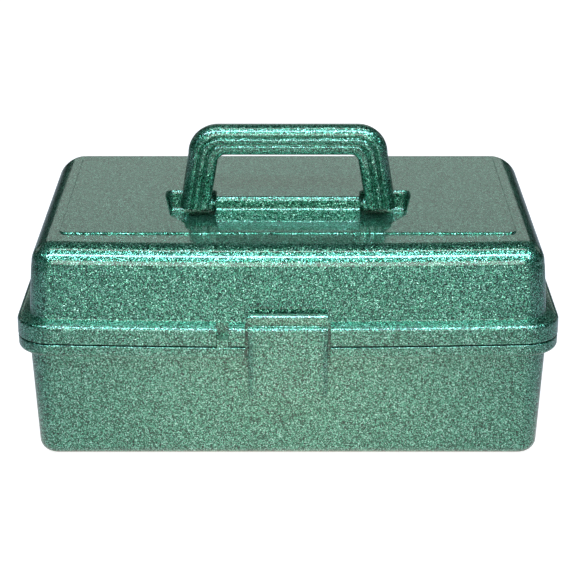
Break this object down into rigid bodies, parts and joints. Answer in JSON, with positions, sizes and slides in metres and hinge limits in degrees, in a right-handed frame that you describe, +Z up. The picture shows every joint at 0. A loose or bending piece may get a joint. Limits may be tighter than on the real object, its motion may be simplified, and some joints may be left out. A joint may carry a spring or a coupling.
{
  "type": "sewing box",
  "caption": "Hinged plastic sewing box with a fold-down carry handle in the lid, a flip-up front latch and stacked cantilever trays that rise and step back as the lid opens.",
  "frame": {"origin": "the middle of the flat underside, on the surface that the box stands on, under the middle of the rim", "axes": "+X to the right seen from the front, -Y towards the front latch, +Z up"},
  "size_m": [0.33, 0.2167, 0.1865],
  "materials": {
    "glitter_plastic": "dark green moulded polystyrene with fine glitter through it, glossy",
    "tray_plastic": "the same green polystyrene, thinner and a little lighter, glossy",
    "steel_wire": "plain bright steel wire and rivets"
  },
  "bodies": {
    "base": {"base_tub": "glitter_plastic", "base_pins_left": "steel_wire", "base_pins_right": "steel_wire"},
    "lid": {"lid_shell": "glitter_plastic", "hinge_pin_left": "steel_wire", "hinge_pin_right": "steel_wire", "handle_pin_left": "glitter_plastic", "handle_pin_right": "glitter_plastic", "latch_pin": "steel_wire", "lid_link_pin_left": "steel_wire", "lid_link_pin_right": "steel_wire"},
    "handle": {"carry_handle": "glitter_plastic"},
    "latch": {"front_latch": "glitter_plastic"},
    "arm_rear_left": {"arm_rear_left": "glitter_plastic", "arm_link_pin_left": "steel_wire"},
    "arm_rear_right": {"arm_rear_right": "glitter_plastic", "arm_link_pin_right": "steel_wire"},
    "arm_front_left": {"arm_front_left": "glitter_plastic"},
    "arm_front_right": {"arm_front_right": "glitter_plastic"},
    "tray_lower": {"tray_lower": "tray_plastic", "lower_divider_left": "tray_plastic", "lower_divider_right": "tray_plastic", "lower_tray_pins_left": "steel_wire", "lower_tray_pins_right": "steel_wire"},
    "tray_upper": {"tray_upper": "tray_plastic", "upper_divider_left": "tray_plastic", "upper_divider_middle": "tray_plastic", "upper_divider_right": "tray_plastic", "upper_tray_pins_left": "steel_wire", "upper_tray_pins_right": "steel_wire"},
    "lid_link_left": {"lid_link_left": "glitter_plastic"},
    "lid_link_right": {"lid_link_right": "glitter_plastic"}
  },
  "joints": [
    {"name": "lid_hinge", "type": "hinge", "parent": "base", "child": "lid", "pos_m": [0, 0.1055, 0.08], "axis": [-1, 0, 0], "range_deg": [0, 105]},
    {"name": "handle_pivot", "type": "hinge", "parent": "lid", "child": "handle", "pos_m": [0, 0.004, 0.1335], "axis": [1, 0, 0], "range_deg": [0, 90]},
    {"name": "latch_pivot", "type": "hinge", "parent": "lid", "child": "latch", "pos_m": [0, -0.101, 0.097], "axis": [-1, 0, 0], "range_deg": [0, 90]},
    {"name": "arm_rear_left_pivot", "type": "hinge", "parent": "base", "child": "arm_rear_left", "pos_m": [-0.1449, 0.048, 0.082], "axis": [-1, 0, 0], "range_deg": [0, 105]},
    {"name": "arm_front_left_pivot", "type": "hinge", "parent": "base", "child": "arm_front_left", "pos_m": [-0.1449, 0.012, 0.072], "axis": [-1, 0, 0], "range_deg": [0, 105]},
    {"name": "lid_link_left_pivot", "type": "hinge", "parent": "lid", "child": "lid_link_left", "pos_m": [-0.1493, 0.0684, 0.095], "axis": [-1, 0, 0], "range_deg": [-105, 0]},
    {"name": "arm_rear_right_pivot", "type": "hinge", "parent": "base", "child": "arm_rear_right", "pos_m": [0.1449, 0.048, 0.082], "axis": [-1, 0, 0], "range_deg": [0, 105]},
    {"name": "arm_front_right_pivot", "type": "hinge", "parent": "base", "child": "arm_front_right", "pos_m": [0.1449, 0.012, 0.072], "axis": [-1, 0, 0], "range_deg": [0, 105]},
    {"name": "lid_link_right_pivot", "type": "hinge", "parent": "lid", "child": "lid_link_right", "pos_m": [0.1493, 0.0684, 0.095], "axis": [-1, 0, 0], "range_deg": [-105, 0]},
    {"name": "tray_lower_pivot", "type": "hinge", "parent": "arm_rear_left", "child": "tray_lower", "pos_m": [-0.1449, 0.0064, 0.0877], "axis": [-1, 0, 0], "range_deg": [-105, 0]},
    {"name": "tray_upper_pivot", "type": "hinge", "parent": "arm_rear_left", "child": "tray_upper", "pos_m": [-0.1449, -0.0308, 0.111], "axis": [-1, 0, 0], "range_deg": [-105, 0]}
  ],
  "couplings": [
    {"joint": "arm_rear_left_pivot", "follows": "lid_hinge", "ratio": 1},
    {"joint": "arm_front_left_pivot", "follows": "lid_hinge", "ratio": 1},
    {"joint": "lid_link_left_pivot", "follows": "lid_hinge", "ratio": -1},
    {"joint": "arm_rear_right_pivot", "follows": "lid_hinge", "ratio": 1},
    {"joint": "arm_front_right_pivot", "follows": "lid_hinge", "ratio": 1},
    {"joint": "lid_link_right_pivot", "follows": "lid_hinge", "ratio": -1},
    {"joint": "tray_lower_pivot", "follows": "lid_hinge", "ratio": -1},
    {"joint": "tray_upper_pivot", "follows": "lid_hinge", "ratio": -1}
  ]
}
